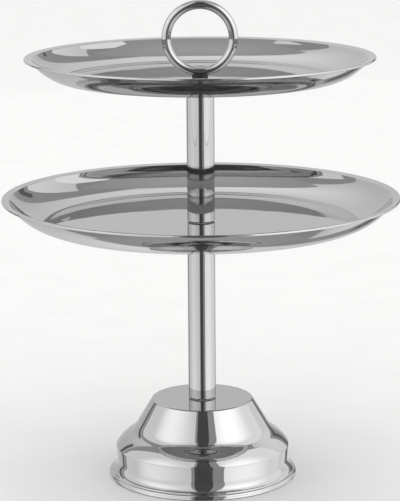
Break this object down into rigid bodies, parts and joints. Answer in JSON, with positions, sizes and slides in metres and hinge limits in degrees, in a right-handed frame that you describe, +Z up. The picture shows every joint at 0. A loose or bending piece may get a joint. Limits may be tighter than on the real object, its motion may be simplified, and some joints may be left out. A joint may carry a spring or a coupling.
{
  "type": "cake stand",
  "caption": "Tiered cake stand: shallow round mirror-polished plates on a slim centre tube, with a hollow spun base and a ring handle on top.",
  "frame": {"origin": "centre of the ring-shaped face that the base stands on", "axes": "+Z up along the column; the ring handle lies in the XZ plane, so its finger hole runs along Y"},
  "size_m": [0.3, 0.3, 0.3648],
  "materials": {
    "mirror_steel": "mirror-polished stainless steel",
    "zinc_steel": "bright zinc plate on turned steel",
    "natural_nylon": "natural translucent nylon, punched from sheet",
    "black_nylon": "satin moulded nylon"
  },
  "bodies": {
    "base": {"base_shell": "mirror_steel", "base_bolt": "zinc_steel", "base_spring_washer": "zinc_steel", "base_clamp_washer": "zinc_steel"},
    "lower_foot_washer": {"lower_tube_foot_washer": "natural_nylon"},
    "lower_column": {"lower_tube": "mirror_steel", "lower_tube_bottom_plug": "zinc_steel", "lower_tube_top_plug": "zinc_steel", "joining_stud": "zinc_steel", "lower_plate_under_washer": "natural_nylon", "lower_plate": "mirror_steel"},
    "upper_foot_washer": {"upper_tube_foot_washer": "natural_nylon"},
    "upper_column": {"upper_tube": "mirror_steel", "upper_tube_bottom_plug": "zinc_steel", "upper_tube_top_plug": "zinc_steel", "upper_plate_under_washer": "natural_nylon", "upper_plate": "mirror_steel"},
    "saddle": {"handle_saddle_washer": "black_nylon"},
    "handle": {"handle_stud": "zinc_steel", "ring_handle": "mirror_steel"}
  },
  "joints": [
    {"name": "lower_column_turn", "type": "hinge", "parent": "base", "child": "lower_foot_washer", "pos_m": [0, 0, 0.0605], "axis": [0, 0, 1], "range_deg": [0, 3600]},
    {"name": "lower_column_rise", "type": "slide", "parent": "lower_foot_washer", "child": "lower_column", "axis": [0, 0, 1], "range_m": [0, 0.01]},
    {"name": "upper_column_turn", "type": "hinge", "parent": "lower_column", "child": "upper_foot_washer", "pos_m": [0, 0, 0.1983], "axis": [0, 0, 1], "range_deg": [0, 3600]},
    {"name": "upper_column_rise", "type": "slide", "parent": "upper_foot_washer", "child": "upper_column", "axis": [0, 0, 1], "range_m": [0, 0.01]},
    {"name": "handle_turn", "type": "hinge", "parent": "upper_column", "child": "saddle", "pos_m": [0, 0, 0.3066], "axis": [0, 0, 1], "range_deg": [0, 3600]},
    {"name": "handle_rise", "type": "slide", "parent": "saddle", "child": "handle", "axis": [0, 0, 1], "range_m": [0, 0.01]}
  ],
  "couplings": [
    {"joint": "lower_column_rise", "follows": "lower_column_turn", "m_per_rad": 0.00015915},
    {"joint": "upper_column_rise", "follows": "upper_column_turn", "m_per_rad": 0.00015915},
    {"joint": "handle_rise", "follows": "handle_turn", "m_per_rad": 0.00015915}
  ]
}
